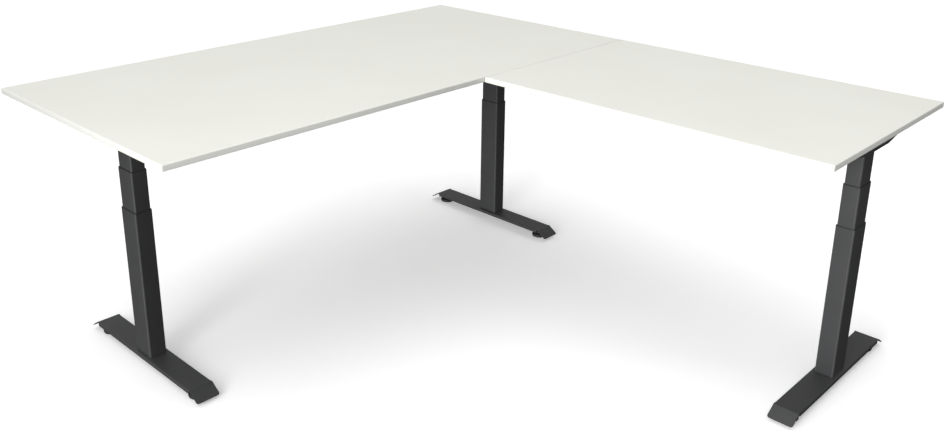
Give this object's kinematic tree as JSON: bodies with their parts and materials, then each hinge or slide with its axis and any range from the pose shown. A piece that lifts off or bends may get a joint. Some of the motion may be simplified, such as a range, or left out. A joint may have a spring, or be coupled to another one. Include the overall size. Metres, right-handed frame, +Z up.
{
  "type": "height adjustable standing desk",
  "caption": "L-shaped electric sit-stand desk: a main top and a return top on telescopic lifting columns with flat feet and levellers, all raised together.",
  "frame": {"origin": "on the floor, under the middle of the desk's overall length and depth", "axes": "+Z up; +X along the main top towards the corner that carries the return; +Y from the return towards the main top's back edge"},
  "size_m": [2, 2.2, 0.855],
  "materials": {
    "white_board": "white melamine facing, satin",
    "white_band": "white ABS edging, satin",
    "anthracite_coat": "fine textured anthracite powder coat",
    "black_plastic": "moulded, matt",
    "dark_case": "moulded, fine texture",
    "zinc_steel": "bright zinc plated",
    "cast_metal": "die cast, dull",
    "motor_paint": "black paint, satin",
    "cable_sheath": "matt sheath"
  },
  "bodies": {
    "left_base": {"left_foot": "anthracite_coat", "left_outer_tube": "anthracite_coat", "left_outer_glides": "black_plastic", "left_lower_screw": "zinc_steel"},
    "left_middle": {"left_mid_tube": "anthracite_coat", "left_mid_glides": "black_plastic"},
    "left_mid_screw": {"left_mid_screw": "zinc_steel"},
    "left_drive_tube": {"left_drive_tube": "zinc_steel"},
    "left_leveller_front": {"left_leveller_front": "black_plastic"},
    "left_leveller_back": {"left_leveller_back": "black_plastic"},
    "corner_base": {"corner_foot": "anthracite_coat", "corner_outer_tube": "anthracite_coat", "corner_outer_glides": "black_plastic", "corner_lower_screw": "zinc_steel"},
    "corner_middle": {"corner_mid_tube": "anthracite_coat", "corner_mid_glides": "black_plastic"},
    "corner_mid_screw": {"corner_mid_screw": "zinc_steel"},
    "corner_drive_tube": {"corner_drive_tube": "zinc_steel"},
    "corner_leveller_front": {"corner_leveller_front": "black_plastic"},
    "corner_leveller_back": {"corner_leveller_back": "black_plastic"},
    "right_base": {"right_foot": "anthracite_coat", "right_outer_tube": "anthracite_coat", "right_outer_glides": "black_plastic", "right_lower_screw": "zinc_steel"},
    "right_middle": {"right_mid_tube": "anthracite_coat", "right_mid_glides": "black_plastic"},
    "right_mid_screw": {"right_mid_screw": "zinc_steel"},
    "right_drive_tube": {"right_drive_tube": "zinc_steel"},
    "right_leveller_front": {"right_leveller_front": "black_plastic"},
    "right_leveller_back": {"right_leveller_back": "black_plastic"},
    "top": {"main_top": "white_board", "return_top": "white_board", "main_edge_band": "white_band", "return_edge_band": "white_band", "main_rail_front": "anthracite_coat", "main_rail_back": "anthracite_coat", "return_rail_left": "anthracite_coat", "return_rail_right": "anthracite_coat", "joining_plate": "zinc_steel", "control_box": "dark_case", "handset": "dark_case", "handset_cable": "cable_sheath", "left_inner_tube": "anthracite_coat", "left_gearbox": "cast_metal", "left_motor": "motor_paint", "left_side_bracket": "anthracite_coat", "left_motor_cable": "cable_sheath", "corner_inner_tube": "anthracite_coat", "corner_gearbox": "cast_metal", "corner_motor": "motor_paint", "corner_side_bracket": "anthracite_coat", "corner_motor_cable": "cable_sheath", "right_inner_tube": "anthracite_coat", "right_gearbox": "cast_metal", "right_motor": "motor_paint", "right_side_bracket": "anthracite_coat", "right_motor_cable": "cable_sheath"},
    "button_up": {"button_up": "black_plastic"},
    "button_down": {"button_down": "black_plastic"}
  },
  "joints": [
    {"name": "lift", "type": "slide", "parent": "left_middle", "child": "top", "axis": [0, 0, 1], "range_m": [-0.0903, 0.1827]},
    {"name": "left_middle_slide", "type": "slide", "parent": "left_base", "child": "left_middle", "axis": [0, 0, 1], "range_m": [-0.1248, 0.2524]},
    {"name": "corner_inner_slide", "type": "slide", "parent": "top", "child": "corner_middle", "axis": [0, 0, -1], "range_m": [-0.0903, 0.1827]},
    {"name": "corner_middle_slide", "type": "slide", "parent": "corner_middle", "child": "corner_base", "axis": [0, 0, -1], "range_m": [-0.1248, 0.2524]},
    {"name": "right_inner_slide", "type": "slide", "parent": "top", "child": "right_middle", "axis": [0, 0, -1], "range_m": [-0.0903, 0.1827]},
    {"name": "right_middle_slide", "type": "slide", "parent": "right_middle", "child": "right_base", "axis": [0, 0, -1], "range_m": [-0.1248, 0.2524]},
    {"name": "left_leveller_front_slide", "type": "slide", "parent": "left_base", "child": "left_leveller_front", "axis": [0, 0, -1], "range_m": [-0.003, 0.008]},
    {"name": "left_leveller_back_slide", "type": "slide", "parent": "left_base", "child": "left_leveller_back", "axis": [0, 0, -1], "range_m": [-0.003, 0.008]},
    {"name": "corner_leveller_front_slide", "type": "slide", "parent": "corner_base", "child": "corner_leveller_front", "axis": [0, 0, -1], "range_m": [-0.003, 0.008]},
    {"name": "corner_leveller_back_slide", "type": "slide", "parent": "corner_base", "child": "corner_leveller_back", "axis": [0, 0, -1], "range_m": [-0.003, 0.008]},
    {"name": "right_leveller_front_slide", "type": "slide", "parent": "right_base", "child": "right_leveller_front", "axis": [0, 0, -1], "range_m": [-0.003, 0.008]},
    {"name": "right_leveller_back_slide", "type": "slide", "parent": "right_base", "child": "right_leveller_back", "axis": [0, 0, -1], "range_m": [-0.003, 0.008]},
    {"name": "button_up_press", "type": "slide", "parent": "top", "child": "button_up", "axis": [0, 1, 0], "range_m": [0, 0.001], "stiffness_N_per_m": 1500},
    {"name": "button_down_press", "type": "slide", "parent": "top", "child": "button_down", "axis": [0, 1, 0], "range_m": [0, 0.001], "stiffness_N_per_m": 1500},
    {"name": "left_mid_screw_turn", "type": "hinge", "parent": "left_middle", "child": "left_mid_screw", "pos_m": [-0.8316, 0.6, 0.45], "axis": [0, 0, 1], "range_deg": [-5605.8, 11341]},
    {"name": "left_drive_tube_turn", "type": "hinge", "parent": "top", "child": "left_drive_tube", "pos_m": [-0.8316, 0.6, 0.6], "axis": [0, 0, 1], "range_deg": [-5605.8, 11341]},
    {"name": "corner_mid_screw_turn", "type": "hinge", "parent": "corner_middle", "child": "corner_mid_screw", "pos_m": [0.815, 0.6, 0.45], "axis": [0, 0, 1], "range_deg": [-5605.8, 11341]},
    {"name": "corner_drive_tube_turn", "type": "hinge", "parent": "top", "child": "corner_drive_tube", "pos_m": [0.815, 0.6, 0.6], "axis": [0, 0, 1], "range_deg": [-5605.8, 11341]},
    {"name": "right_mid_screw_turn", "type": "hinge", "parent": "right_middle", "child": "right_mid_screw", "pos_m": [0.61, -1.014, 0.45], "axis": [0, 0, 1], "range_deg": [-5605.8, 11341]},
    {"name": "right_drive_tube_turn", "type": "hinge", "parent": "top", "child": "right_drive_tube", "pos_m": [0.61, -1.014, 0.6], "axis": [0, 0, 1], "range_deg": [-5605.8, 11341]}
  ],
  "couplings": [
    {"joint": "left_middle_slide", "follows": "lift", "ratio": 1.3809},
    {"joint": "corner_inner_slide", "follows": "lift", "ratio": 1},
    {"joint": "corner_middle_slide", "follows": "lift", "ratio": 1.3809},
    {"joint": "right_inner_slide", "follows": "lift", "ratio": 1},
    {"joint": "right_middle_slide", "follows": "lift", "ratio": 1.3809},
    {"joint": "left_mid_screw_turn", "follows": "lift", "rad_per_m": 1083.3},
    {"joint": "left_drive_tube_turn", "follows": "lift", "rad_per_m": 1083.3},
    {"joint": "corner_mid_screw_turn", "follows": "lift", "rad_per_m": 1083.3},
    {"joint": "corner_drive_tube_turn", "follows": "lift", "rad_per_m": 1083.3},
    {"joint": "right_mid_screw_turn", "follows": "lift", "rad_per_m": 1083.3},
    {"joint": "right_drive_tube_turn", "follows": "lift", "rad_per_m": 1083.3}
  ]
}
